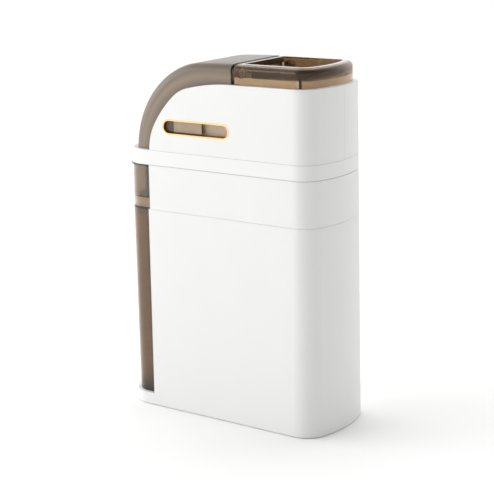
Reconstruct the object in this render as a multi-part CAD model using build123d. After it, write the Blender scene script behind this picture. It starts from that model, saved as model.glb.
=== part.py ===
from build123d import *
import os
from math import atan2, cos, radians, sin, sqrt, tan

os.makedirs("parts", exist_ok=True)

# A slim hand-operated waste compactor. Millimetres: X runs along the front with
# +X to the right, the front faces -Y, Z is up, and the origin is on the floor under
# the middle of the plan outline.

# Plan outline at floor level
LENGTH = 322.5
WIDTH = 140.5
CORNER_R = 32.8
END_R = 152.5
BAND_CORNER_R = 40.0
SKIRT_CORNER_R = 36.0
DRAFT = 0.49
SLOPE = tan(radians(DRAFT))

# Heights of the stacked units
FOOT_GAP = 1.0
LEDGE_TOP = 17.0
LEDGE_THICK = 3.0
SLEEVE_TOP = 279.8
BAND_BOTTOM = 340.7
BAND_TOP = 361.1
SHELL_TOP = 455.4
HEIGHT = 481.0
SEAM = 0.3

# Walls, ledges and running gaps
SLEEVE_WALL = 2.2
SHELL_WALL = 2.4
SMOKY_WALL = 2.0
HOOD_WALL = 2.4
LEDGE_WIDTH = 6.2
PART_GAP = 0.3
HALF_SEAM = 0.15

# Band that ties the skirts to the shells, and its opening for the press hanger
BAND_FLANGE = 2.4
BAND_OPENING = 18.5
BAND_OPENING_X = -133.0
BAND_ROUND = 0.5
BAND_END_ROUND = 4.5
SKIRT_INSET = 2.6
BRIM_INSET = 0.2
BRIM_THICK = 2.0

# Where the white walls stop and the smoky end starts
SLEEVE_EDGE_X = -109.0
SKIRT_EDGE_X = -106.5

# Arched edges, seen from the front: (radius, turn in degrees) from the flat top leftwards
ARCH_X = 26.0
SHELL_ARCH = [(275.0, 14.0), (52.5, 26.5), (153.0, 19.5), (72.0, 30.0)]
HOOD_ARCH = [(1040.0, 3.0), (89.0, 17.0), (127.7, 70.0)]
HOOD_HALF = 59.8
HOOD_SHOULDER = 10.0
HOOD_END_X = 25.4
HOOD_SLOT_X = (-79.6, 24.0)
HOOD_SLOT_Z = (386.5, 402.5)
SEAL_WIDTH = 2.0
SEAL_BOTTOM = 408.0

# Lid ring and its hinge
RING_LEFT = 28.0
RING_INSET = 6.5
RING_WALL = 2.2
RING_BOTTOM = 455.9
RING_RIM = 13.0
RING_LEFT_RIM = 10.2
RING_LIP_BOTTOM = 465.0
GASKET_INSET = 8.8
GASKET_WALL = 1.4
GASKET_Z = (456.2, 464.6)
GASKET_LEFT = 31.0
GASKET_JOINT_X = (127.6, 130.4)
HINGE_X = 40.5
HINGE_Z = 470.5
PIN_R = 2.0
BOSS_R = 7.0
PIN_PLAY = 0.06
RING_ROUND = 7.0
RING_LEFT_ROUND = 5.0
RING_SKIRT_X = 30.3
RING_SKIRT_BOTTOM = 472.0
BOSS_Y = (55.1, 58.4)
BOSS_HOLE_Y = (55.1, 57.9)
PIN_Y = (50.8, 57.6)
BRACKET_Y = (50.8, 54.8)
BRACKET_R = 5.0
BRACKET_X = (42.5, 52.5)

# Mouth frame, its chute and the lid's bumpers
PLATE_LEVEL = SHELL_TOP - SHELL_WALL
PLATE_DEPTH = 2.4
MOUTH_LEFT = 27.0
MOUTH_INSET = 18.0
CHUTE_WALL = 2.0
CHUTE_BOTTOM = 430.0
CHUTE_LEFT = 40.6
NOTCH_Y = (56.4, 60.4)
NOTCH_X = (27.0, 62.0)
BUMPER_R = 3.5
BUMPER_PLACES = [(x, y) for x in (72.0, 118.0) for y in (-56.0, 56.0)]

# Hand slot in the front upper shell
SLOT_X = -27.9
SLOT_Z = 394.5
SLOT_LENGTH = 107.0
SLOT_HEIGHT = 20.4
TRIM_WIDTH = 1.9
TRIM_PROUD = 0.3
TRIM_DEPTH = 0.5

# Press: rods, carriage and plate, drawn at the parked end of the stroke
ROD_R = 3.0
ROD_Y = 32.0
ROD_Z = 425.0
ROD_RUNNING = 0.05
BUSH_R = 5.0
CARRIAGE_LEFT = -94.0
CARRIAGE_LENGTH = 24.0
BLOCK_HEIGHT = 16.0
LEFT_BLOCK_X = -104.5
RIGHT_BLOCK_X = 28.4
BLOCK_THICK = 8.0
BLOCK_ROUND = 9.0
PLATE_X = -130.0
PLATE_THICK = 3.0
PLATE_HALF = 42.0
PLATE_BOTTOM = 60.0
PLATE_TOP = 380.0
RIB_Y = (-30.0, -10.0, 10.0, 30.0)
RIB_HALF = 1.0
RIB_HEIGHT = 2.0
RIB_Z = (70.0, 340.0)
WIPER_REACH = 3.0
CARRIAGE_X = (CARRIAGE_LEFT, CARRIAGE_LEFT + CARRIAGE_LENGTH)
CARRIAGE_Z = (ROD_Z - BLOCK_HEIGHT / 2, ROD_Z + BLOCK_HEIGHT / 2)
CARRIAGE_HALF = 44.0
BUSH_LENGTH = 8.0
RIGHT_BLOCK_HALF = 50.0
PLATE_FRONT = PLATE_X + PLATE_THICK

# Sheet hanger between the carriage and the plate
HANGER_SHEET = 3.0
HANGER_SCREW_X = -88.0
HANGER_SCREW_Y = (-18.0, 18.0)
SHELF_Z = (376.0, 380.0)
SHELF_SCREW_Y = (-18.0, 0.0, 18.0)
SHELF_SCREW_Z = 366.0
TAB_BOTTOM = 356.0
WEB_X = (-78.0, -74.0)
WEB_HALF = 24.0

# Grip behind the hand slot, its arm, and the strips that keep dust out of the slot
GRIP_X = (-79.0, -67.0)
GRIP_Y = (-62.8, -56.4)
GRIP_Z = (388.0, 401.0)
ARM_IN = 1.0
OUTER_STRIP = ((GRIP_X[1], -21.0), (-62.0, -60.4), (387.6, 402.0))
INNER_STRIP = ((-90.0, 26.0), (-56.4, -55.0), (385.0, 404.0))

# Bucket and its collar
BUCKET_INSET = 5.0
BUCKET_FLOOR = 2.3
COLLAR_INSET = 7.6
COLLAR_WALL = 2.4
COLLAR_TOP = 295.0
COLLAR_DEPTH = 10.0
COLLAR_FIT = 0.2

# Feet and screws: places seen from above
FOOT_R = 9.0
FOOT_PLACES = [(x, y) for x in (-122.0, 122.0) for y in (-44.0, 44.0)]
BASE_FIXINGS = [(x, y) for x in (-85.0, 85.0) for y in (-45.0, 45.0)]
SKIRT_FIXINGS = [(x, y) for x in (-100.0, 0.0, 100.0) for y in (-57.0, 57.0)]
SHELL_FIXINGS = [(x, y) for x in (50.0, 112.0) for y in (-61.2, 61.2)]
HOOD_FIXINGS = [(x, y) for x in (-80.0, 15.0) for y in (-54.8, 54.8)]
BOSS_TOP = 380.0
BLIND = 12.0
BASE_BOSS_R = 5.0
SKIRT_BOSS_R = 4.5
SHELL_BOSS_R = 4.0
HOOD_BOSS_R = 3.5
PLATE_Z = (2.0, 5.0)
FOOT_DEPTH = 3.0
SCREW_R = 1.5
HEAD_R = 3.0
HEAD_HEIGHT = 2.0
SUNK_HEAD = 1.8
SCREW_BITE = 10.0

# A length beyond the whole body, for cutting blocks
FAR = 400.0


def plan_end(radius, inset, z):
    """Corner and bulge points of one end: flat side's end, elbow, meeting point, apex."""
    moved = inset + z * SLOPE
    corner = radius - moved
    end = END_R - moved
    end_x = LENGTH / 2 - END_R
    corner_y = WIDTH / 2 - radius
    corner_x = end_x + sqrt((END_R - radius) ** 2 - corner_y**2)
    turn = atan2(corner_y, corner_x - end_x)
    mid = (radians(90) + turn) / 2
    flat = (corner_x, WIDTH / 2 - moved)
    elbow = (corner_x + corner * cos(mid), corner_y + corner * sin(mid))
    meet = (end_x + end * cos(turn), end * sin(turn))
    return flat, elbow, meet, (end_x + end, 0)


def plan(inset=0.0, z=0.0, left_corner=CORNER_R):
    """Outline seen from above: flat sides, four corners and two shallow bulged ends."""
    ends = [(1, plan_end(CORNER_R, inset, z)), (-1, plan_end(left_corner, inset, z))]

    def at(point, side_x, side_y):
        return (side_x * point[0], side_y * point[1])

    with BuildSketch() as outline:
        with BuildLine():
            for side_y in (1, -1):
                Line(*[at(points[0], side_x, side_y) for side_x, points in ends])
            for side_x, (flat, elbow, meet, apex) in ends:
                for side_y in (1, -1):
                    ThreePointArc(*[at(point, side_x, side_y) for point in (flat, elbow, meet)])
                bulge = (at(meet, side_x, 1), at(apex, side_x, 1), at(meet, side_x, -1))
                ThreePointArc(*bulge)
        make_face()
    return outline.sketch


def prism(inset, low, high, left_corner=CORNER_R):
    """The drafted body, moved in by inset, between two heights."""
    levels = [Pos(0, 0, z) * plan(inset, z, left_corner) for z in (low, high)]
    return loft(levels, ruled=True)


def straight(inset, low, high, left_corner=CORNER_R):
    """The same outline with upright walls."""
    return extrude(Pos(0, 0, low) * plan(inset, 0, left_corner), amount=high - low)


def block(x, y, z):
    """A box from its (low, high) limits along each axis."""
    size = [high - low for low, high in (x, y, z)]
    middle = [(high + low) / 2 for low, high in (x, y, z)]
    return Pos(*middle) * Box(*size)


def rod_x(x, y, z, radius):
    """A cylinder along X between the two x limits."""
    centre = Pos((x[0] + x[1]) / 2, y, z)
    return centre * Rot(0, 90, 0) * Cylinder(radius, x[1] - x[0])


def rod_y(x, y, z, radius):
    """A cylinder along Y between the two y limits."""
    centre = Pos(x, (y[0] + y[1]) / 2, z)
    return centre * Rot(90, 0, 0) * Cylinder(radius, y[1] - y[0])


def rod_z(x, y, z, radius):
    """A cylinder along Z between the two z limits."""
    return Pos(x, y, (z[0] + z[1]) / 2) * Cylinder(radius, z[1] - z[0])


def screw(x, y, low, high, head_height=HEAD_HEIGHT):
    """A pan-head screw driven upwards, its head at the low end."""
    shank = rod_z(x, y, (low, high), SCREW_R)
    return shank + rod_z(x, y, (low, low + head_height), HEAD_R)


def under_arch(top, arcs, offset, right, half):
    """Everything below an arched edge, swept across the body along Y."""
    bottom = SLEEVE_TOP
    x, z, turned = ARCH_X, top - offset, 0.0
    with BuildSketch(Plane.XZ) as face:
        with BuildLine():
            for radius, turn in arcs:
                reach = radius - offset
                centre_x = x + reach * sin(turned)
                centre_z = z - reach * cos(turned)
                points = [(x, z)]
                for share in (0.5, 1.0):
                    angle = turned + share * radians(turn)
                    spot = (centre_x - reach * sin(angle), centre_z + reach * cos(angle))
                    points.append(spot)
                ThreePointArc(*points)
                x, z = points[-1]
                turned += radians(turn)
            Line((x, z), (x, bottom))
            Line((x, bottom), (right, bottom))
            Line((right, bottom), (right, top - offset))
            Line((right, top - offset), (ARCH_X, top - offset))
        make_face()
    return extrude(face.sketch, amount=half, both=True)


def hand_slot(margin):
    """The obround hand slot as a solid that passes through the front wall."""
    shape = SlotOverall(SLOT_LENGTH - 2 * margin, SLOT_HEIGHT - 2 * margin)
    return extrude(Plane.XZ.offset(FAR / 4) * Pos(SLOT_X, SLOT_Z) * shape, amount=FAR / 4, both=True)


def save(shape, node):
    export_step(shape, f"parts/{node}.step")


def group(shapes):
    return Compound(children=list(shapes))


# --- Base unit: sleeve, base plate, feet ---
def outer_sleeve():
    body = prism(0, FOOT_GAP, SLEEVE_TOP)
    floor = LEDGE_TOP - LEDGE_THICK
    body -= prism(SLEEVE_WALL, FOOT_GAP, floor)
    body -= prism(SLEEVE_WALL, LEDGE_TOP, SLEEVE_TOP)
    body -= block((-FAR, SLEEVE_EDGE_X), (-FAR, FAR), (LEDGE_TOP, FAR))
    for x, y in BASE_FIXINGS:
        boss = (PLATE_Z[1], floor)
        body += rod_z(x, y, boss, BASE_BOSS_R) - rod_z(x, y, boss, SCREW_R)
    return body


def base_plate():
    plate = prism(SLEEVE_WALL + PART_GAP, *PLATE_Z)
    for x, y in FOOT_PLACES:
        plate -= rod_z(x, y, (PLATE_Z[0], FOOT_DEPTH), FOOT_R)
    for x, y in BASE_FIXINGS:
        plate -= rod_z(x, y, PLATE_Z, SCREW_R)
        plate -= rod_z(x, y, (PLATE_Z[0], PLATE_Z[0] + SUNK_HEAD), HEAD_R)
    return plate


save(outer_sleeve(), "outer_sleeve")
save(base_plate(), "base_plate")
save(group(rod_z(x, y, (0, FOOT_DEPTH), FOOT_R) for x, y in FOOT_PLACES), "rubber_feet")
sunk = [screw(x, y, PLATE_Z[0], PLATE_Z[0] + SCREW_BITE, SUNK_HEAD) for x, y in BASE_FIXINGS]
save(group(sunk), "base_screws")


# --- Bucket: smoky liner and the white collar pressed into its mouth ---
BUCKET_TOP = SLEEVE_TOP - SEAM


def inner_bucket():
    body = straight(BUCKET_INSET, LEDGE_TOP + SEAM, BUCKET_TOP)
    return body - straight(BUCKET_INSET + SMOKY_WALL, LEDGE_TOP + SEAM + BUCKET_FLOOR, BUCKET_TOP)


def rim_collar():
    bottom = BUCKET_TOP - COLLAR_DEPTH
    pressed_inset = BUCKET_INSET + SMOKY_WALL + COLLAR_FIT
    body = straight(COLLAR_INSET, BUCKET_TOP, COLLAR_TOP, SKIRT_CORNER_R)
    body += straight(pressed_inset, bottom, BUCKET_TOP, SKIRT_CORNER_R)
    return body - straight(COLLAR_INSET + COLLAR_WALL, bottom, COLLAR_TOP, SKIRT_CORNER_R)


save(inner_bucket(), "inner_bucket")
save(rim_collar(), "rim_collar")


# --- Upper unit: skirts, band, shells, arched hood ---
SKIRT_LOW = SLEEVE_TOP + SEAM
SKIRT_TOP = BAND_BOTTOM - SEAM
BRIM_BOTTOM = BAND_BOTTOM - BRIM_THICK
BAND_UNDER = BAND_TOP - BAND_FLANGE


def skirt_shell():
    body = prism(0, SKIRT_LOW, SKIRT_TOP) - prism(SLEEVE_WALL, SKIRT_LOW, SKIRT_TOP)
    return body - block((-FAR, SKIRT_EDGE_X), (-FAR, FAR), (0, FAR))


def hood_skirt():
    body = prism(SKIRT_INSET, SKIRT_LOW, BAND_BOTTOM, SKIRT_CORNER_R)
    body -= prism(SKIRT_INSET + SMOKY_WALL, SKIRT_LOW, BRIM_BOTTOM, SKIRT_CORNER_R)
    brim = prism(BRIM_INSET, BRIM_BOTTOM, BAND_BOTTOM, SKIRT_CORNER_R)
    brim &= block((-FAR, SKIRT_EDGE_X - SEAM), (-FAR, FAR), (0, FAR))
    body += brim
    body -= straight(BAND_OPENING, BRIM_BOTTOM, BAND_BOTTOM)
    for x, y in SKIRT_FIXINGS:
        body -= rod_z(x, y, (BRIM_BOTTOM, BAND_BOTTOM), SCREW_R)
    return body


def band_ring():
    """Solid band with a softly rounded end under the hood and a crisp edge elsewhere."""
    body = None
    ends = ((BAND_ROUND, (SKIRT_EDGE_X, FAR)), (BAND_END_ROUND, (-FAR, SKIRT_EDGE_X)))
    for radius, x in ends:
        piece = prism(0, BAND_BOTTOM, BAND_TOP, BAND_CORNER_R)
        piece = fillet(piece.faces().sort_by(Axis.Z)[-1].edges(), radius)
        piece &= block(x, (-FAR, FAR), (0, FAR))
        body = piece if body is None else body + piece
    body -= prism(SHELL_WALL, BAND_BOTTOM, BAND_UNDER, BAND_CORNER_R)
    hole = straight(BAND_OPENING, BAND_UNDER, BAND_TOP)
    hole &= block((BAND_OPENING_X, FAR), (-FAR, FAR), (0, FAR))
    body -= hole
    for x, y in SKIRT_FIXINGS:
        body += rod_z(x, y, (BAND_BOTTOM, BAND_UNDER), SKIRT_BOSS_R)
        body -= rod_z(x, y, (BAND_BOTTOM, BAND_BOTTOM + SCREW_BITE), SCREW_R)
    for x, y in SHELL_FIXINGS + HOOD_FIXINGS:
        body -= rod_z(x, y, (BAND_UNDER, BAND_TOP), SCREW_R)
    return body


def upper_shells():
    body = prism(0, BAND_TOP, SHELL_TOP)
    body &= under_arch(SHELL_TOP, SHELL_ARCH, 0, FAR, FAR / 2)
    hollow = prism(SHELL_WALL, BAND_TOP, SHELL_TOP)
    hollow &= under_arch(SHELL_TOP, SHELL_ARCH, SHELL_WALL, FAR, FAR / 2)
    body -= hollow
    body -= prism(LEDGE_WIDTH, BAND_TOP, SHELL_TOP)
    for x, y in SHELL_FIXINGS:
        body += rod_z(x, y, (BAND_TOP, BOSS_TOP), SHELL_BOSS_R)
        body -= rod_z(x, y, (BAND_TOP, BAND_TOP + BLIND), SCREW_R)
    return body


def front_shell(both):
    body = both & block((-FAR, FAR), (-FAR, -HALF_SEAM), (0, 2 * FAR))
    return body - hand_slot(0)


def rear_shell(both):
    return both & block((-FAR, FAR), (HALF_SEAM, FAR), (0, 2 * FAR))


def slot_trim():
    front = WIDTH / 2 - SLOT_Z * SLOPE
    depth = (-front - TRIM_PROUD, -front + SHELL_WALL + TRIM_DEPTH)
    return (hand_slot(0) - hand_slot(TRIM_WIDTH)) & block((-FAR, FAR), depth, (0, 2 * FAR))


def hood_body(offset):
    half = HOOD_HALF - offset
    body = under_arch(HEIGHT, HOOD_ARCH, offset, FAR, half)
    sides = body.edges().filter_by(GeomType.CIRCLE)
    edges = [edge for edge in sides if abs(abs(edge.center().Y) - half) < 0.01]
    body = fillet(edges, HOOD_SHOULDER - offset)
    return body & block((-FAR, HOOD_END_X), (-FAR, FAR), (BAND_TOP, FAR * 2))


def roof_hood():
    body = hood_body(0) - hood_body(HOOD_WALL)
    body -= block(HOOD_SLOT_X, (-FAR, 0), HOOD_SLOT_Z)
    for x, y in HOOD_FIXINGS:
        body += rod_z(x, y, (BAND_TOP, BOSS_TOP), HOOD_BOSS_R)
        body -= rod_z(x, y, (BAND_TOP, BAND_TOP + BLIND), SCREW_R)
    return body


def hood_seal():
    """A soft strip lining the open end of the hood, next to the lid ring."""
    strip = hood_body(HOOD_WALL) - hood_body(HOOD_WALL + SEAL_WIDTH)
    span = (HOOD_END_X - SEAL_WIDTH, HOOD_END_X)
    return strip & block(span, (-FAR, FAR), (SEAL_BOTTOM, 2 * FAR))


both_shells = upper_shells()
save(skirt_shell(), "skirt_shell")
save(hood_skirt(), "hood_skirt")
save(band_ring(), "band_ring")
save(front_shell(both_shells), "upper_front_shell")
save(rear_shell(both_shells), "upper_rear_shell")
save(slot_trim(), "slot_trim")
save(roof_hood(), "roof_hood")
save(hood_seal(), "hood_seal")
for node, places, seat in (
    ("skirt_screws", SKIRT_FIXINGS, BRIM_BOTTOM),
    ("shell_screws", SHELL_FIXINGS, BAND_UNDER),
    ("hood_screws", HOOD_FIXINGS, BAND_UNDER),
):
    low, high = seat - HEAD_HEIGHT, seat + SCREW_BITE
    save(group(screw(x, y, low, high) for x, y in places), node)


# --- Mouth frame: plate under the shell ledge, chute, hinge brackets, pins, bumpers ---
def right_of(solid, x):
    return solid & block((x, FAR), (-FAR, FAR), (0, 2 * FAR))


def on_side(side, y):
    """The (low, high) limits of a piece on the front or the rear side."""
    return sorted((side * y[0], side * y[1]))


def mouth_frame():
    low = PLATE_LEVEL - PLATE_DEPTH
    plate = right_of(prism(SHELL_WALL + PART_GAP, low, PLATE_LEVEL), MOUTH_LEFT)
    chute = right_of(prism(MOUTH_INSET, CHUTE_BOTTOM, PLATE_LEVEL), CHUTE_LEFT - CHUTE_WALL)
    opening = prism(MOUTH_INSET + CHUTE_WALL, CHUTE_BOTTOM, PLATE_LEVEL)
    body = plate + chute - right_of(opening, CHUTE_LEFT)
    for side in (-1, 1):
        body -= block(NOTCH_X, on_side(side, NOTCH_Y), (low, PLATE_LEVEL))
    return body


def hinge_bracket(side):
    y = on_side(side, BRACKET_Y)
    body = rod_y(HINGE_X, y, HINGE_Z, BRACKET_R)
    body += block(BRACKET_X, y, (PLATE_LEVEL, HINGE_Z))
    return body - rod_y(HINGE_X, y, HINGE_Z, PIN_R)


save(mouth_frame(), "mouth_frame")
save(group(hinge_bracket(side) for side in (-1, 1)), "hinge_brackets")
save(group(rod_y(HINGE_X, on_side(side, PIN_Y), HINGE_Z, PIN_R) for side in (-1, 1)), "hinge_pins")
bumpers = [rod_z(x, y, (PLATE_LEVEL, RING_BOTTOM), BUMPER_R) for x, y in BUMPER_PLACES]
save(group(bumpers), "lid_bumpers")


# --- Lid ring: inverted-U rim that flips up on its two pins ---
def rounded_top(body, radius, left_radius):
    """Rounds the top edges, the straight left one by its own radius."""
    top = body.faces().sort_by(Axis.Z)[-1]
    left = top.edges().sort_by(Axis.X)[0]
    body = fillet([edge for edge in top.edges() if edge != left], radius)
    along = body.edges().filter_by(Axis.Y)
    return fillet(along.sort_by(lambda edge: edge.center().X - edge.center().Z)[0], left_radius)


def lid_ring():
    body = right_of(prism(RING_INSET, RING_BOTTOM, HEIGHT), RING_LEFT)
    body = rounded_top(body, RING_ROUND, RING_LEFT_ROUND)
    lip = RING_INSET + RING_RIM - RING_WALL
    cavity = prism(RING_INSET + RING_WALL, RING_BOTTOM, HEIGHT - RING_WALL)
    cavity = right_of(cavity, RING_LEFT + RING_WALL)
    cavity = fillet(cavity.faces().sort_by(Axis.Z)[-1].edges(), RING_ROUND - RING_WALL)
    inner = prism(lip, RING_LIP_BOTTOM, HEIGHT)
    body -= cavity - right_of(inner, RING_LEFT + RING_LEFT_RIM - RING_WALL)
    body -= right_of(prism(lip + RING_WALL, RING_BOTTOM, HEIGHT), RING_LEFT + RING_LEFT_RIM)
    body -= block((0, RING_SKIRT_X), (-BOSS_HOLE_Y[1], BOSS_HOLE_Y[1]), (0, RING_SKIRT_BOTTOM))
    for side in (-1, 1):
        boss = rod_y(HINGE_X, on_side(side, BOSS_Y), HINGE_Z, BOSS_R)
        hole = rod_y(HINGE_X, on_side(side, BOSS_HOLE_Y), HINGE_Z, PIN_R + PIN_PLAY)
        body = body + boss - hole
    return body


def lid_gasket():
    """A soft strip in two lengths inside the skirt, notched round the hinge bosses."""
    body = prism(GASKET_INSET, *GASKET_Z) - prism(GASKET_INSET + GASKET_WALL, *GASKET_Z)
    body = right_of(body, GASKET_LEFT) - block(GASKET_JOINT_X, (-FAR, 0), GASKET_Z)
    return body - rod_y(HINGE_X, (-FAR, FAR), HINGE_Z, BOSS_R + SEAM)


save(lid_ring(), "lid_ring")
save(lid_gasket(), "lid_gasket")


# --- Press: rods and blocks stay put, carriage, plate and grip slide along X ---
def rod_block(x, half, high):
    body = block((x, x + BLOCK_THICK), (-half, half), (CARRIAGE_Z[0], high))
    body = fillet(body.edges().filter_by(Axis.X).group_by(Axis.Z)[-1], BLOCK_ROUND)
    for y in (-ROD_Y, ROD_Y):
        body -= rod_x((x, x + BLOCK_THICK), y, ROD_Z, ROD_R)
    return body


def carriage():
    body = block(CARRIAGE_X, (-CARRIAGE_HALF, CARRIAGE_HALF), CARRIAGE_Z)
    arm = (GRIP_X[0] + ARM_IN, GRIP_X[1] - ARM_IN)
    body += block(arm, (GRIP_Y[1], -CARRIAGE_HALF), (GRIP_Z[0], CARRIAGE_Z[1]))
    for y in (-ROD_Y, ROD_Y):
        body -= rod_x(CARRIAGE_X, y, ROD_Z, BUSH_R)
    for y in HANGER_SCREW_Y:
        body -= rod_z(HANGER_SCREW_X, y, (CARRIAGE_Z[0], CARRIAGE_Z[0] + SCREW_BITE), SCREW_R)
    return body


def bushes():
    for y in (-ROD_Y, ROD_Y):
        for x in (CARRIAGE_X[0], CARRIAGE_X[1] - BUSH_LENGTH):
            span = (x, x + BUSH_LENGTH)
            yield rod_x(span, y, ROD_Z, BUSH_R) - rod_x(span, y, ROD_Z, ROD_R + ROD_RUNNING)


def press_hanger():
    width = (-WEB_HALF, WEB_HALF)
    pad = (CARRIAGE_Z[0] - HANGER_SHEET, CARRIAGE_Z[0])
    tab = (PLATE_FRONT, PLATE_FRONT + HANGER_SHEET)
    body = block((CARRIAGE_X[0], WEB_X[1]), width, pad)
    body += block(WEB_X, width, (SHELF_Z[0], CARRIAGE_Z[0]))
    body += block((PLATE_FRONT, WEB_X[1]), width, SHELF_Z)
    body += block(tab, width, (TAB_BOTTOM, SHELF_Z[1]))
    for y in HANGER_SCREW_Y:
        body -= rod_z(HANGER_SCREW_X, y, pad, SCREW_R)
    for y in SHELF_SCREW_Y:
        body -= rod_x(tab, y, SHELF_SCREW_Z, SCREW_R)
    return body


def press_plate():
    body = block((PLATE_X, PLATE_FRONT), (-PLATE_HALF, PLATE_HALF), (PLATE_BOTTOM, PLATE_TOP))
    for y in SHELF_SCREW_Y:
        body -= rod_x((PLATE_X, PLATE_FRONT), y, SHELF_SCREW_Z, SCREW_R)
    for y in RIB_Y:
        body += block((PLATE_FRONT, PLATE_FRONT + RIB_HEIGHT), (y - RIB_HALF, y + RIB_HALF), RIB_Z)
    return body


def plate_wiper():
    half = PLATE_HALF + WIPER_REACH
    x = (PLATE_X, PLATE_FRONT)
    outer = block(x, (-half, half), (PLATE_BOTTOM - WIPER_REACH, RIB_Z[1]))
    return outer - block(x, (-PLATE_HALF, PLATE_HALF), (PLATE_BOTTOM, RIB_Z[1]))


def plate_screw(y):
    seat = PLATE_FRONT + HANGER_SHEET
    shank = rod_x((PLATE_X, seat), y, SHELF_SCREW_Z, SCREW_R)
    return shank + rod_x((seat, seat + HEAD_HEIGHT), y, SHELF_SCREW_Z, HEAD_R)


rod_span = (LEFT_BLOCK_X, RIGHT_BLOCK_X + BLOCK_THICK)
save(group(rod_x(rod_span, y, ROD_Z, ROD_R) for y in (-ROD_Y, ROD_Y)), "guide_rods")
save(rod_block(LEFT_BLOCK_X, HOOD_HALF - HOOD_WALL, CARRIAGE_Z[1]), "left_rod_block")
right_top = PLATE_LEVEL - PLATE_DEPTH
save(rod_block(RIGHT_BLOCK_X, RIGHT_BLOCK_HALF, right_top), "right_rod_block")
save(carriage(), "press_carriage")
save(group(bushes()), "carriage_bushes")
save(press_hanger(), "press_hanger")
save(press_plate(), "press_plate")
save(plate_wiper(), "plate_wiper")
save(group(plate_screw(y) for y in SHELF_SCREW_Y), "plate_screws")
head_low = CARRIAGE_Z[0] - HANGER_SHEET - HEAD_HEIGHT
head_high = CARRIAGE_Z[0] + SCREW_BITE - HEAD_HEIGHT
hanging = [screw(HANGER_SCREW_X, y, head_low, head_high) for y in HANGER_SCREW_Y]
save(group(hanging), "hanger_screws")
save(block(GRIP_X, GRIP_Y, GRIP_Z), "slide_grip")
save(block(*OUTER_STRIP), "outer_dust_strip")
window = block((GRIP_X[0] + ARM_IN, GRIP_X[1] - ARM_IN), INNER_STRIP[1], (GRIP_Z[0], FAR * 2))
save(block(*INNER_STRIP) - window, "inner_dust_strip")
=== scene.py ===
from math import cos, pi, radians, sin

import bmesh
import bpy
from mathutils import Matrix, Vector


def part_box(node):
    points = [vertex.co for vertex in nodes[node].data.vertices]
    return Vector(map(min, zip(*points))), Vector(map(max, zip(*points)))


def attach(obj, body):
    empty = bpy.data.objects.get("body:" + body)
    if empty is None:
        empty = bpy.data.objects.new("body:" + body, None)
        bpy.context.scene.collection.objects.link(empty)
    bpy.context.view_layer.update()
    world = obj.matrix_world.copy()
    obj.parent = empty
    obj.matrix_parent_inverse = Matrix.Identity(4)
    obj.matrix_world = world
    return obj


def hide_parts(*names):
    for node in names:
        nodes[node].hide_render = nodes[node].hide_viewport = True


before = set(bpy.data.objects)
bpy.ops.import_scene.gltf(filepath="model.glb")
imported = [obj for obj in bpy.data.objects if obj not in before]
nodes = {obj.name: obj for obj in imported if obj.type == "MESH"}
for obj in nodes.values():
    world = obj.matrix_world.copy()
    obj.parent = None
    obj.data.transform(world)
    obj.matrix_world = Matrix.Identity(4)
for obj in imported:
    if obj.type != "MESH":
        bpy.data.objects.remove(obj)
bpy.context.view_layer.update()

# --- Room ---
# A pale seamless studio floor under a bright soft sky, dimmer in front and to the right,
# with a large key softbox from the left that falls off at the front right corner and a
# smaller one lower down that puts a soft highlight on the hood.
scene = bpy.context.scene
scene.view_settings.view_transform = "Standard"
scene.cycles.max_bounces = 20
scene.cycles.transmission_bounces = 20
FLOOR_RADIUS, FLOOR_SIDES = 14.0, 96
FLOOR_LOW, FLOOR_HIGH = (0.965, 0.965, 0.96, 1), (0.98, 0.98, 0.975, 1)
SKY_STRENGTH = 1.60
SHADE_SIDE = (0.78, -0.62, 0.05)
SHADE_SHARE = 0.27
SHADE_FROM, SHADE_TO = 0.38, 0.68
LIGHT_AIM = (0.0, 0.0, 0.25)
KEY_PLACE, KEY_SIZE, KEY_POWER = (-2.3, -1.15, 1.0), (1.5, 1.5), 20
FILL_PLACE, FILL_SIZE, FILL_POWER = (-1.3, -1.9, 0.75), (0.9, 0.6), 6


def new_object(name, data):
    made = bpy.data.objects.new(name, data)
    scene.collection.objects.link(made)
    return made


def soften(mesh, steepest=40):
    """Smooth shading, with edges kept sharp where faces meet more steeply, in degrees."""
    for face in mesh.polygons:
        face.use_smooth = True
    mesh.set_sharp_from_angle(angle=radians(steepest))


def from_bmesh(name, bm, material):
    """A finished object from a bmesh, which is used up."""
    mesh = bpy.data.meshes.new(name)
    bm.to_mesh(mesh)
    bm.free()
    made = new_object(name, mesh)
    mesh.materials.append(material)
    soften(mesh)
    return made


def new_material(name):
    """An empty node material, its tree and its Principled shader."""
    made = bpy.data.materials.new(name)
    made.use_nodes = True
    tree = made.node_tree
    return made, tree, tree.nodes["Principled BSDF"]


def set_inputs(node, **values):
    for key, value in values.items():
        node.inputs[key.replace("_", " ")].default_value = value


def node_of(tree, kind, **values):
    made = tree.nodes.new(kind)
    set_inputs(made, **values)
    return made


def place(tree, stretch=(1, 1, 1)):
    """Object coordinates, stretched along each axis."""
    where = tree.nodes.new("ShaderNodeTexCoord")
    mapping = node_of(tree, "ShaderNodeMapping", Scale=stretch)
    tree.links.new(where.outputs["Object"], mapping.inputs["Vector"])
    return mapping.outputs["Vector"]


def noise(tree, scale, stretch=(1, 1, 1), detail=3.0):
    made = node_of(tree, "ShaderNodeTexNoise", Scale=scale, Detail=detail)
    tree.links.new(place(tree, stretch), made.inputs["Vector"])
    return made.outputs["Fac"]


def ramp(tree, source, low, high, start=0.3, end=0.7):
    """Colours or greys between two ends of a 0 to 1 pattern."""
    made = tree.nodes.new("ShaderNodeValToRGB")
    ends = made.color_ramp.elements
    ends[0].position, ends[0].color = start, low
    ends[1].position, ends[1].color = end, high
    tree.links.new(source, made.inputs["Fac"])
    return made.outputs["Color"]


def grey(tone):
    return (tone, tone, tone, 1)


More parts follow.
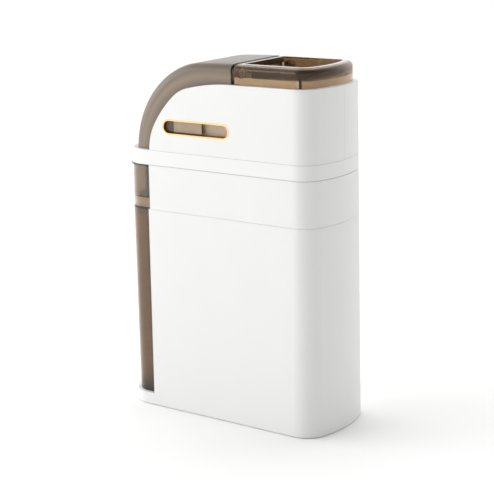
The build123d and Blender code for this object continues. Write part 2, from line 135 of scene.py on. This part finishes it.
def vector_step(tree, operation, source, other=None):
    """One step of vector arithmetic on a node tree."""
    step = tree.nodes.new("ShaderNodeVectorMath")
    step.operation = operation
    tree.links.new(source, step.inputs[0])
    if other is not None:
        step.inputs[1].default_value = other
    return step.outputs["Value" if operation in ("DOT_PRODUCT", "LENGTH") else "Vector"]


def softbox(name, stand, size, power):
    """A rectangular studio light, turned to the middle of the object."""
    lamp = bpy.data.lights.new(name, "AREA")
    lamp.shape = "RECTANGLE"
    lamp.size, lamp.size_y = size
    lamp.energy = power
    made = new_object(name, lamp)
    made.location = stand
    made.rotation_euler = (Vector(LIGHT_AIM) - Vector(stand)).to_track_quat("-Z", "Y").to_euler()


floor_paint, tree, shader = new_material("studio_floor")
tree.links.new(ramp(tree, noise(tree, 0.8), FLOOR_LOW, FLOOR_HIGH), shader.inputs["Base Color"])
set_inputs(shader, Roughness=0.9)
bm = bmesh.new()
bmesh.ops.create_circle(bm, cap_ends=True, segments=FLOOR_SIDES, radius=FLOOR_RADIUS)
floor = from_bmesh("studio_floor", bm, floor_paint)

world = bpy.data.worlds.new("studio_sky")
scene.world = world
world.use_nodes = True
tree = world.node_tree
sky = tree.nodes["Background"]
direction = tree.nodes.new("ShaderNodeTexCoord").outputs["Generated"]
spread = node_of(tree, "ShaderNodeMapRange", From_Min=-1.0, From_Max=1.0)
tree.links.new(vector_step(tree, "DOT_PRODUCT", direction, SHADE_SIDE), spread.inputs["Value"])
sides = ramp(tree, spread.outputs["Result"], grey(1.0), grey(SHADE_SHARE), SHADE_FROM, SHADE_TO)
tree.links.new(sides, sky.inputs["Color"])
sky.inputs["Strength"].default_value = SKY_STRENGTH

softbox("left_key", KEY_PLACE, KEY_SIZE, KEY_POWER)
softbox("shoulder_light", FILL_PLACE, FILL_SIZE, FILL_POWER)

# --- Camera ---
# A long lens that stands to the right of the front, a little above the lid, and leans
# about a degree to the side. Angles are in degrees.
CAMERA_TURN = 34.748
CAMERA_RISE = 14.176
CAMERA_LEAN = -1.128
CAMERA_AWAY = 1.9035
CAMERA_AIM = (0.00436, 0.0, 0.22653)
FOCAL, FILM_WIDTH = 102.44, 36
FARTHEST = 100
turn, rise, lean = radians(CAMERA_TURN), radians(CAMERA_RISE), radians(CAMERA_LEAN)
back = Vector((sin(turn) * cos(rise), -cos(turn) * cos(rise), sin(rise)))
right = Vector((cos(turn), sin(turn), 0))
up = back.cross(right)
leaned_right = cos(lean) * right + sin(lean) * up
leaned_up = -sin(lean) * right + cos(lean) * up
lens = bpy.data.cameras.new("camera")
lens.sensor_width = FILM_WIDTH
lens.lens = FOCAL
lens.clip_end = FARTHEST
camera = new_object("camera", lens)
axes = Matrix((leaned_right, leaned_up, back)).transposed()
camera.matrix_world = Matrix.Translation(Vector(CAMERA_AIM) + back * CAMERA_AWAY) @ axes.to_4x4()
scene.camera = camera

# --- White shells and band ---
# The sleeve, the skirt and the two upper halves are injection-moulded white ABS with a
# fine satin texture; the halves meet in a thin parting line and seat on the band, which
# shows a line of shade along its top and bottom edges.
WHITE_GRAIN, GRAIN_HEIGHT = 2600, 0.0001
# Half height and tone of the painted shade line along the band's parting edges.
PARTING_HALF, PARTING_SHADE_TONE = 0.0005, (0.52, 0.52, 0.51)
BEYOND = 1.0
MIX_SHARE, MIX_FIRST, MIX_SECOND, MIX_RESULT = 0, 6, 7, 2  # sockets of a colour mix


def bump(tree, shader, source, strength, distance):
    made = node_of(tree, "ShaderNodeBump", Strength=strength, Distance=distance)
    tree.links.new(source, made.inputs["Height"])
    tree.links.new(made.outputs["Normal"], shader.inputs["Normal"])


def mixed(tree, share, first, second, blend="MIX"):
    """Blends two colours; share and second may be constants."""
    made = tree.nodes.new("ShaderNodeMix")
    made.data_type, made.blend_type = "RGBA", blend
    for index, value in ((MIX_SHARE, share), (MIX_FIRST, first), (MIX_SECOND, second)):
        if isinstance(value, bpy.types.NodeSocket):
            tree.links.new(value, made.inputs[index])
        else:
            made.inputs[index].default_value = value
    return made.outputs[MIX_RESULT]


def math_step(tree, operation, first, second):
    """One step of arithmetic on a node tree; second may be a constant."""
    step = tree.nodes.new("ShaderNodeMath")
    step.operation = operation
    tree.links.new(first, step.inputs[0])
    if isinstance(second, bpy.types.NodeSocket):
        tree.links.new(second, step.inputs[1])
    else:
        step.inputs[1].default_value = second
    return step.outputs[0]


def inside(tree, low, high):
    """1 within the box between two corners of the piece's own space, 0 outside it."""
    low, high = Vector(low), Vector(high)
    away = vector_step(tree, "SUBTRACT", place(tree), (low + high) / 2)
    away = vector_step(tree, "ABSOLUTE", away)
    away = vector_step(tree, "DIVIDE", away, (high - low) / 2)
    split = tree.nodes.new("ShaderNodeSeparateXYZ")
    tree.links.new(away, split.inputs[0])
    farthest = math_step(tree, "MAXIMUM", split.outputs["X"], split.outputs["Y"])
    farthest = math_step(tree, "MAXIMUM", farthest, split.outputs["Z"])
    return math_step(tree, "LESS_THAN", farthest, 1.0)


def tint_zones(tree, colour, zones):
    """Changes a colour inside boxes given as (low corner, high corner, colour)."""
    for low, high, other in zones:
        colour = mixed(tree, inside(tree, low, high), colour, (*other, 1))
    return colour


def level(low, high, colour):
    """A zone right round a piece, between two heights."""
    return (-BEYOND, -BEYOND, low), (BEYOND, BEYOND, high), colour


def clouded(tree, pattern, tone, share):
    """A tone that darkens to a share of itself along a pattern."""
    return ramp(tree, pattern, (*(share * c for c in tone), 1), (*tone, 1))


def uneven_sheen(tree, shader, pattern, smoothest, roughest):
    sheen = ramp(tree, pattern, grey(smoothest), grey(roughest))
    tree.links.new(sheen, shader.inputs["Roughness"])


def satin_white(name, tone, rough, zones=()):
    """Moulded white plastic: faint flow clouding, fine grain and uneven sheen; the zones are
    painted shade along edges at parting lines, standing in for the shade in the gap."""
    made, tree, shader = new_material(name)
    colour = clouded(tree, noise(tree, 9, (1, 1, 0.4)), tone, 0.985)
    tree.links.new(tint_zones(tree, colour, zones), shader.inputs["Base Color"])
    uneven_sheen(tree, shader, noise(tree, 30), rough - 0.04, rough + 0.05)
    bump(tree, shader, noise(tree, WHITE_GRAIN, detail=2.0), 0.05, GRAIN_HEIGHT)
    set_inputs(shader, IOR=1.5)
    return made


def dress(material, *names):
    """Gives carried-over nodes their finish."""
    for name in names:
        slots = nodes[name].data.materials
        slots.clear()
        slots.append(material)


dress(
    satin_white("white_shell_plastic", (0.83, 0.83, 0.82), 0.42),
    "outer_sleeve", "skirt_shell", "upper_front_shell", "upper_rear_shell",
)
# Painted shade: a thin darker line round the band's top and bottom edges, for the shade in the
# parting gap.
parting = [
    level(corner.z - PARTING_HALF, corner.z + PARTING_HALF, PARTING_SHADE_TONE)
    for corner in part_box("band_ring")
]
dress(satin_white("white_band_plastic", (0.84, 0.84, 0.83), 0.40, parting), "band_ring")

# --- White inner mouldings ---
# The base plate, the bucket's collar, the frame under the lid and its hinge brackets are
# plainer, matter white mouldings, seen only from above or below or through smoky walls.
dress(
    satin_white("white_inner_plastic", (0.82, 0.82, 0.80), 0.55),
    "base_plate", "rim_collar", "mouth_frame", "hinge_brackets",
)

# --- Smoky bucket, skirt and lid ring ---
# Clear brown-tinted moulded walls: each pass through a face takes out more blue than
# red, and a little of the tint scatters, so thicker or layered walls look darker. Rims
# and feet carry painted lines of shade, the bucket painted shade towards its foot, and
# the skirt and lid painted light low down, where the pale collar and gasket behind show
# through; the lid also has a painted highlight, and painted shade at its corner and ends.
EDGE = 0.001
# The colour of the painted shade lines at rims, feet and edges.
PAINTED_DARK = (0.05, 0.035, 0.025)
COLLAR_SHADE_LINE = (0.15, 0.11, 0.08)
FOOT_STEP = 0.006
LIP_FOOT = 0.4650
# Places of the lid's painted highlight bar and painted shade bar, and of painted shade on its
# right end and along its left edge.
HIGHLIGHT_BAR_X, SHADE_BAR_X, SHADE_BAR_TOP = (0.1248, 0.1274), (0.1277, 0.1303), 0.4700
LEFT_EDGE, RIGHT_END_X, RIGHT_END_Z = 0.0018, 0.1220, 0.4690


def smoked(name, tint, clear, rough, zones=(), ior=1.5):
    """Tinted clear plastic with faint flow streaks and gloss; the zones are painted light
    and shade, bands of lighter or darker tint standing in for how light comes through."""
    made, tree, shader = new_material(name)
    colour = clouded(tree, noise(tree, 16, (1, 1, 0.35)), tint, 0.92)
    tree.links.new(tint_zones(tree, colour, zones), shader.inputs["Base Color"])
    uneven_sheen(tree, shader, noise(tree, 45), rough, rough + 0.05)
    set_inputs(shader, IOR=ior, Transmission_Weight=clear)
    return made


bucket_low, bucket_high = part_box("inner_bucket")
# Painted shade on the bucket: a dark line along its rim, and tint stepping darker towards its
# foot.
bucket_painted_shade = [
    level(bucket_high.z - EDGE, bucket_high.z + EDGE, PAINTED_DARK),
    level(bucket_low.z + 2 * FOOT_STEP, bucket_low.z + 3 * FOOT_STEP, (0.30, 0.205, 0.135)),
    level(bucket_low.z + FOOT_STEP, bucket_low.z + 2 * FOOT_STEP, (0.21, 0.15, 0.105)),
    level(bucket_low.z - EDGE, bucket_low.z + FOOT_STEP, (0.13, 0.10, 0.08)),
]
bucket_plastic = smoked("smoky_bucket_plastic", (0.39, 0.27, 0.17), 0.86, 0.05, bucket_painted_shade)
dress(bucket_plastic, "inner_bucket")

skirt_low, skirt_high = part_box("hood_skirt")
collar_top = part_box("rim_collar")[1].z
# Painted light and shade on the skirt: lighter tint below the collar's top, where the white collar
# behind shows through, and painted dark lines of shade along its top, its foot and the collar's
# top edge.
skirt_painted_light_and_shade = [
    level(skirt_low.z, collar_top, (0.70, 0.56, 0.42)),
    level(skirt_high.z - 2 * EDGE, skirt_high.z + EDGE, PAINTED_DARK),
    level(collar_top - EDGE / 2, collar_top + EDGE, COLLAR_SHADE_LINE),
    level(skirt_low.z - EDGE, skirt_low.z + EDGE, PAINTED_DARK),
]
skirt_plastic = smoked("smoky_skirt_plastic", (0.49, 0.39, 0.295), 0.92, 0.05, skirt_painted_light_and_shade)
dress(skirt_plastic, "hood_skirt")

lid_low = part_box("lid_ring")[0]
bar_front, bar_foot = lid_low.y - EDGE, lid_low.z - EDGE
lid_painted_light_and_shade = [
    # Painted light: the lid is lighter below the lip's foot, where the pale gasket behind shows
    # through.
    level(bar_foot, LIP_FOOT, (0.95, 0.76, 0.55)),
    # A painted highlight, and beside it a painted dark bar of shade, at the front right corner.
    ((HIGHLIGHT_BAR_X[0], bar_front, bar_foot), (HIGHLIGHT_BAR_X[1], 0, LIP_FOOT), (1.0, 0.97, 0.92)),
    ((SHADE_BAR_X[0], bar_front, bar_foot), (SHADE_BAR_X[1], 0, SHADE_BAR_TOP), PAINTED_DARK),
    # Painted shade on the lid's right end.
    ((RIGHT_END_X, -BEYOND, RIGHT_END_Z), (BEYOND, BEYOND, BEYOND), (0.30, 0.215, 0.14)),
    # Painted shade along the lid's left edge, standing for the dark gap at the hinge.
    ((lid_low.x - EDGE, -BEYOND, LIP_FOOT), (lid_low.x + LEFT_EDGE, BEYOND, BEYOND), PAINTED_DARK),
]
lid_plastic = smoked("smoky_lid_plastic", (0.46, 0.34, 0.23), 0.93, 0.03, lid_painted_light_and_shade, ior=1.36)
dress(lid_plastic, "lid_ring")

# --- Hood ---
# One smoky moulding that arches from the lid down to the band: a flat roof with rounded
# shoulders that grow rounder towards the foot, a slot in its front wall, and four posts
# at its foot that take screws from under the band.
hood_low, hood_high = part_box("roof_hood")
HOOD_TOP, HOOD_FOOT = hood_high.z, hood_low.z
HOOD_END, HOOD_HALF = hood_high.x, hood_high.y
ARCH_START = 0.026
ARCH = ((1.040, 3, 4), (0.089, 17, 10), (0.1277, 70, 40))  # radius, degrees, steps
ARCH_CENTRE = (-0.0105, 0, HOOD_TOP - 0.1267)
SIDE_FOOT_REACH, ROOF_REACH = 0.092, 0.1277
# Tones of the hood's painted side light: painted shade at the edges, and a painted highlight half
# way out.
PAINTED_EDGE_SHADE = 0.62
PAINTED_SIDE_TONES = ((0.30, 0.95), (0.50, 1.30), (0.66, 0.95), (0.84, 0.66))
SHOULDER_TOP, SHOULDER_FOOT, SHOULDER_TURN = 0.009, 0.017, 90
HOOD_WALL, CORNER_THINNING = 0.0022, 2.2
SHOULDER_STEPS, ROD_SIDES = 10, 32
SLOT_LOW, SLOT_HIGH = (-0.0796, -0.080, 0.3865), (0.024, -0.050, 0.4025)
POST_PLACES = [(x, y) for x in (-0.080, 0.015) for y in (-0.0548, 0.0548)]
POST_RADIUS, POST_START, POST_RISE = 0.0035, 0.0001, 0.0189
BORE_RADIUS, BORE_START, BORE_RISE = 0.0015, -0.001, 0.0125


def arch_line():
    """Points down the middle of the roof, each with the turn made so far."""
    x, z, turned = ARCH_START, HOOD_TOP, 0.0
    points = [(HOOD_END, HOOD_TOP, 0.0)]
    for radius, degrees, steps in ARCH:
        centre = (x + radius * sin(turned), z - radius * cos(turned))
        for step in range(1, steps + 1):
            angle = turned + radians(degrees) * step / steps
            x = centre[0] - radius * sin(angle)
            z = centre[1] + radius * cos(angle)
            points.append((x, z, angle))
        turned += radians(degrees)
    points.append((x, HOOD_FOOT, turned))
    return points


def hood_section(x, z, turned, depth):
    """One rib of the skin across the hood, depth in from the outside."""
    share = min(1.0, turned / radians(SHOULDER_TURN))
    grown = share * share * (3 - 2 * share)
    radius = SHOULDER_TOP + (SHOULDER_FOOT - SHOULDER_TOP) * grown - CORNER_THINNING * depth
    half = HOOD_HALF - depth
    out = Vector((-sin(turned), 0, cos(turned)))
    top = Vector((x, 0, z)) - out * depth
    across = []
    for step in range(SHOULDER_STEPS + 1):
        angle = pi / 2 * step / SHOULDER_STEPS
        y = -half + radius - radius * cos(angle)
        across.append(top - out * (radius - radius * sin(angle)) + Vector((0, y, 0)))
    return across + [Vector((p.x, -p.y, p.z)) for p in reversed(across)]


def hood_skin():
    """The hood's outer and inner skins, joined at the open end and at the foot."""
    bm = bmesh.new()
    skins = []
    for depth in (0.0, HOOD_WALL):
        half = HOOD_HALF - depth
        rows = [[bm.verts.new(p) for p in hood_section(*at, depth)] for at in arch_line()]
        corners = [bm.verts.new((HOOD_END, side * half, HOOD_FOOT)) for side in (-1, 1)]
        skins.append([[corners[0], *row, corners[1]] for row in rows])
    for skin in skins:
        for here, after in zip(skin, skin[1:]):
            for j in range(len(here) - 1):
                loop = dict.fromkeys((here[j], here[j + 1], after[j + 1], after[j]))
                bm.faces.new(loop if skin is skins[0] else reversed(list(loop)))
    for row in (0, -1):
        outer, inner = skins[0][row], skins[1][row]
        for j in range(len(outer) - 1):
            bm.faces.new((outer[j], inner[j], inner[j + 1], outer[j + 1]))
    bmesh.ops.recalc_face_normals(bm, faces=bm.faces)
    return bm


def upright_rods(radius, start, rise):
    """A rod at each post's place, from start to rise above the hood's foot."""
    bm = bmesh.new()
    for x, y in POST_PLACES:
        middle = Matrix.Translation((x, y, HOOD_FOOT + (start + rise) / 2))
        bmesh.ops.create_cone(
            bm, cap_ends=True, segments=ROD_SIDES, radius1=radius, radius2=radius,
            depth=rise - start, matrix=middle,
        )
    return bm


def loose_block(low, high):
    bm = bmesh.new()
    bmesh.ops.create_cube(bm, size=1)
    for vert in bm.verts:
        vert.co = Vector([a if c < 0 else b for c, a, b in zip(vert.co, low, high)])
    return bm


def settle(made):
    """Replaces an object's mesh by its finished one and drops its modifiers."""
    bpy.context.view_layer.update()
    graph = bpy.context.evaluated_depsgraph_get()
    mesh = bpy.data.meshes.new_from_object(made.evaluated_get(graph))
    made.modifiers.clear()
    old, made.data = made.data, mesh
    bpy.data.meshes.remove(old)
    mesh.name = made.name


def paint_hood_side_light(material):
    """Paints the hood's side by the distance from the middle of the arch: a painted highlight
    half way out, and painted shade deeper at the roof line and the foot."""
    tree = material.node_tree
    colour = tree.nodes["Principled BSDF"].inputs["Base Color"]
    away = vector_step(tree, "SUBTRACT", place(tree), ARCH_CENTRE)
    away = vector_step(tree, "MINIMUM", away, (0, 0, 1))
    away = vector_step(tree, "MULTIPLY", away, (1, 0, 1))
    span = node_of(tree, "ShaderNodeMapRange", From_Min=SIDE_FOOT_REACH, From_Max=ROOF_REACH)
    tree.links.new(vector_step(tree, "LENGTH", away), span.inputs["Value"])
    shade = ramp(tree, span.outputs["Result"], grey(PAINTED_EDGE_SHADE), grey(PAINTED_EDGE_SHADE), 0.0, 1.0)
    for at, tone in PAINTED_SIDE_TONES:
        shade.node.color_ramp.elements.new(at).color = grey(tone)
    tint = colour.links[0].from_socket
    tree.links.new(mixed(tree, 1.0, tint, shade, "MULTIPLY"), colour)


# The hood's side gets a painted highlight along its middle and painted shade at the roof line and
# the foot.
hood_plastic = smoked("smoky_hood_plastic", (0.40, 0.31, 0.22), 0.55, 0.36)
paint_hood_side_light(hood_plastic)
hood = from_bmesh("smoky_hood", hood_skin(), hood_plastic)
shaping = (
    ("slot", loose_block(SLOT_LOW, SLOT_HIGH), "DIFFERENCE"),
    ("posts", upright_rods(POST_RADIUS, POST_START, POST_RISE), "UNION"),
    ("bores", upright_rods(BORE_RADIUS, BORE_START, BORE_RISE), "DIFFERENCE"),
)
tools = []
for name, shape, operation in shaping:
    tools.append(from_bmesh(name, shape, hood_plastic))
    cut = hood.modifiers.new(name, "BOOLEAN")
    cut.operation, cut.object, cut.solver = operation, tools[-1], "EXACT"
settle(hood)
for tool in tools:
    bpy.data.objects.remove(tool)
soften(hood.data)
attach(hood, "upper")
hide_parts("roof_hood")

# --- Gold trim round the hand slot ---
# A thin ring of anodised aluminium in satin gold, brushed along its length and pressed
# into the slot in the front shell.


def metal(name, tone, rough, grain):
    """Metal with fine drawn lines in its tone and sheen."""
    made, tree, shader = new_material(name)
    set_inputs(shader, Metallic=1.0)
    lines = noise(tree, grain, (0.06, 1, 1), detail=4.0)
    tree.links.new(clouded(tree, lines, tone, 0.86), shader.inputs["Base Color"])
    uneven_sheen(tree, shader, lines, rough - 0.06, rough + 0.08)
    return made


dress(metal("gold_trim_metal", (0.90, 0.60, 0.24), 0.32, 300), "slot_trim")

# --- Press, rods and hardware ---
# Dark moulded carriage and rod blocks on ground steel rods, with sintered bronze bushes,
# a bent sheet hanger and a ribbed plate with a rubber wiper round its edge; the small
# rubber and silicone parts are pushed into their seats.
RELIEF_HEIGHT = 0.0002


def moulded(name, tone, rough, grain=1800, depth=0.12):
    """Moulded plastic or rubber: cloudy tone, uneven sheen and a fine grain."""
    made, tree, shader = new_material(name)
    tree.links.new(clouded(tree, noise(tree, 60), tone, 0.85), shader.inputs["Base Color"])
    uneven_sheen(tree, shader, noise(tree, 90), rough - 0.05, rough + 0.07)
    bump(tree, shader, noise(tree, grain, detail=2.0), depth, RELIEF_HEIGHT)
    return made


block_plastic = moulded("dark_block_plastic", (0.10, 0.075, 0.06), 0.5)
dress(block_plastic, "press_carriage", "left_rod_block", "right_rod_block")
dress(metal("steel_rod_metal", (0.75, 0.75, 0.76), 0.18, 500), "guide_rods")
dress(metal("steel_pin_metal", (0.72, 0.72, 0.73), 0.22, 500), "hinge_pins")
dress(metal("bronze_bush_metal", (0.55, 0.38, 0.19), 0.45, 900), "carriage_bushes")
dress(metal("steel_hanger_metal", (0.60, 0.60, 0.61), 0.35, 700), "press_hanger")
dress(moulded("press_plate_plastic", (0.62, 0.64, 0.66), 0.5), "press_plate")
dress(moulded("wiper_rubber", (0.05, 0.05, 0.052), 0.75, 900, 0.25), "plate_wiper")
dress(moulded("foot_rubber", (0.03, 0.03, 0.03), 0.8, 900, 0.25), "rubber_feet")
dress(moulded("pale_silicone", (0.80, 0.79, 0.76), 0.6, 900, 0.2), "lid_bumpers", "lid_gasket")
dress(moulded("dark_seal_rubber", (0.02, 0.018, 0.016), 0.7, 900, 0.2), "hood_seal")
dress(moulded("slide_grip_plastic", (0.10, 0.065, 0.045), 0.35), "slide_grip")
dress(moulded("outer_strip_plastic", (0.42, 0.32, 0.22), 0.30), "outer_dust_strip")
dress(moulded("inner_strip_plastic", (0.60, 0.46, 0.34), 0.30), "inner_dust_strip")

# --- Screws ---
# Zinc-plated pan-head thread-forming screws with a cross recess, driven from below into
# the moulded bosses, and from inside through the hanger's tab into the plate.
CORE_RADIUS, THREAD_PITCH, RIDGE_RADIUS = 0.00125, 0.0011, 0.00025
HEAD_RADIUS, HEAD_FOOT_RADIUS, HEAD_HEIGHT = 0.003, 0.0024, 0.002
RECESS_LENGTH, RECESS_WIDTH, RECESS_DEPTH = 0.0034, 0.0007, 0.0011
CORE_SIDES, HEAD_SIDES, RIDGE_SIDES, STEPS_A_TURN = 16, 28, 3, 14
ALONG_X, ALONG_Z = 0, 2


def islands(name):
    """The (lowest, highest) corners of each separate solid in a carried-over node."""
    bm = bmesh.new()
    bm.from_mesh(nodes[name].data)
    bmesh.ops.remove_doubles(bm, verts=bm.verts, dist=1e-6)
    left, found = set(bm.verts), []
    while left:
        queue, seen = [left.pop()], []
        while queue:
            vert = queue.pop()
            seen.append(vert.co.copy())
            for edge in vert.link_edges:
                other = edge.other_vert(vert)
                if other in left:
                    left.remove(other)
                    queue.append(other)
        axes = list(zip(*seen))
        found.append((Vector(map(min, axes)), Vector(map(max, axes))))
    bm.free()
    return sorted(found, key=lambda box: tuple(round(c, 5) for c in box[0]))


class Tree:
    """A geometry node tree with named inputs, wired by short calls."""

    def __init__(self, name, inputs):
        self.tree = bpy.data.node_groups.new(name, "GeometryNodeTree")
        face = self.tree.interface
        face.new_socket("Geometry", in_out="INPUT", socket_type="NodeSocketGeometry")
        self.named = {}
        for label, kind in inputs:
            socket = face.new_socket(label, in_out="INPUT", socket_type="NodeSocket" + kind)
            self.named[label] = socket.identifier
        face.new_socket("Geometry", in_out="OUTPUT", socket_type="NodeSocketGeometry")
        self.source = self.tree.nodes.new("NodeGroupInput").outputs
        self.target = self.tree.nodes.new("NodeGroupOutput").inputs

    def node(self, kind, settings=(), **links):
        """Adds a node; each input is wired to a socket, or to several, or set to a value."""
        made = self.tree.nodes.new(kind)
        for key, value in dict(settings).items():
            setattr(made, key, value)
        for key, value in links.items():
            socket = made.inputs[key.replace("_", " ")]
            for part in value if isinstance(value, list) else [value]:
                if isinstance(part, bpy.types.NodeSocket):
                    self.tree.links.new(part, socket)
                else:
                    socket.default_value = part
        return made.outputs[0]

    def math(self, operation, first, second):
        made = self.node("ShaderNodeMath", {"operation": operation}, Value=first)
        made.node.inputs[1].default_value = second
        return made

    def apply(self, name, points, material, body, **values):
        """Runs the tree on a set of points and keeps the result as one plain mesh."""
        mesh = bpy.data.meshes.new(name)
        mesh.from_pydata([tuple(p) for p in points], [], [])
        made = new_object(name, mesh)
        grown = made.modifiers.new(name, "NODES")
        grown.node_group = self.tree
        for label, value in dict(values, Finish=material).items():
            grown[self.named[label]] = value
        settle(made)
        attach(made, body)
        return made


screws = Tree("cross_recess_screw", [
    ("Length", "Float"), ("Turn", "Rotation"), ("Finish", "Material"),
])
get = screws.source
core = screws.node(
    "GeometryNodeMeshCylinder", Vertices=CORE_SIDES, Radius=CORE_RADIUS, Depth=get["Length"],
)
lift = screws.node("ShaderNodeCombineXYZ", Z=screws.math("MULTIPLY", get["Length"], 0.5))
core = screws.node("GeometryNodeTransform", Geometry=core, Translation=lift)
helix = screws.node(
    "GeometryNodeCurveSpiral", Resolution=STEPS_A_TURN, Height=get["Length"],
    Rotations=screws.math("DIVIDE", get["Length"], THREAD_PITCH),
    Start_Radius=CORE_RADIUS, End_Radius=CORE_RADIUS,
)
ridge = screws.node(
    "GeometryNodeCurvePrimitiveCircle", Resolution=RIDGE_SIDES, Radius=RIDGE_RADIUS,
)
thread = screws.node("GeometryNodeCurveToMesh", Curve=helix, Profile_Curve=ridge, Fill_Caps=True)
pan = screws.node(
    "GeometryNodeMeshCone", Vertices=HEAD_SIDES, Depth=HEAD_HEIGHT,
    Radius_Top=HEAD_RADIUS, Radius_Bottom=HEAD_FOOT_RADIUS,
)
arms = [
    screws.node("GeometryNodeMeshCube", Size=(along, across, 2 * RECESS_DEPTH))
    for along, across in ((RECESS_LENGTH, RECESS_WIDTH), (RECESS_WIDTH, RECESS_LENGTH))
]
cross = screws.node("GeometryNodeMeshBoolean", {"operation": "UNION"}, Mesh_2=arms)
pan = screws.node("GeometryNodeMeshBoolean", {"operation": "DIFFERENCE"}, Mesh_1=pan, Mesh_2=cross)
whole = screws.node("GeometryNodeJoinGeometry", Geometry=[core, thread, pan])
placed = screws.node(
    "GeometryNodeInstanceOnPoints", Points=get["Geometry"], Instance=whole, Rotation=get["Turn"],
)
real = screws.node("GeometryNodeRealizeInstances", Geometry=placed)
done = screws.node("GeometryNodeSetMaterial", Geometry=real, Material=get["Finish"])
screws.tree.links.new(done, screws.target[0])

zinc = metal("zinc_screw_metal", (0.62, 0.62, 0.63), 0.30, 700)
for node, body, along in (
    ("base_screws", "base", ALONG_Z), ("skirt_screws", "upper", ALONG_Z),
    ("shell_screws", "upper", ALONG_Z), ("hood_screws", "upper", ALONG_Z),
    ("hanger_screws", "press", ALONG_Z), ("plate_screws", "press", ALONG_X),
):
    points = []
    for low, high in islands(node):
        head = (low + high) / 2
        head[along] = low[along] if along == ALONG_Z else high[along]
        points.append(head)
        length = high[along] - low[along]
    turned = (0, 0, 0) if along == ALONG_Z else (0, radians(-90), 0)
    made = screws.apply(node + "_cross", points, zinc, body, Length=length, Turn=turned)
    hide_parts(node)

# --- Update ---
bpy.context.view_layer.update()
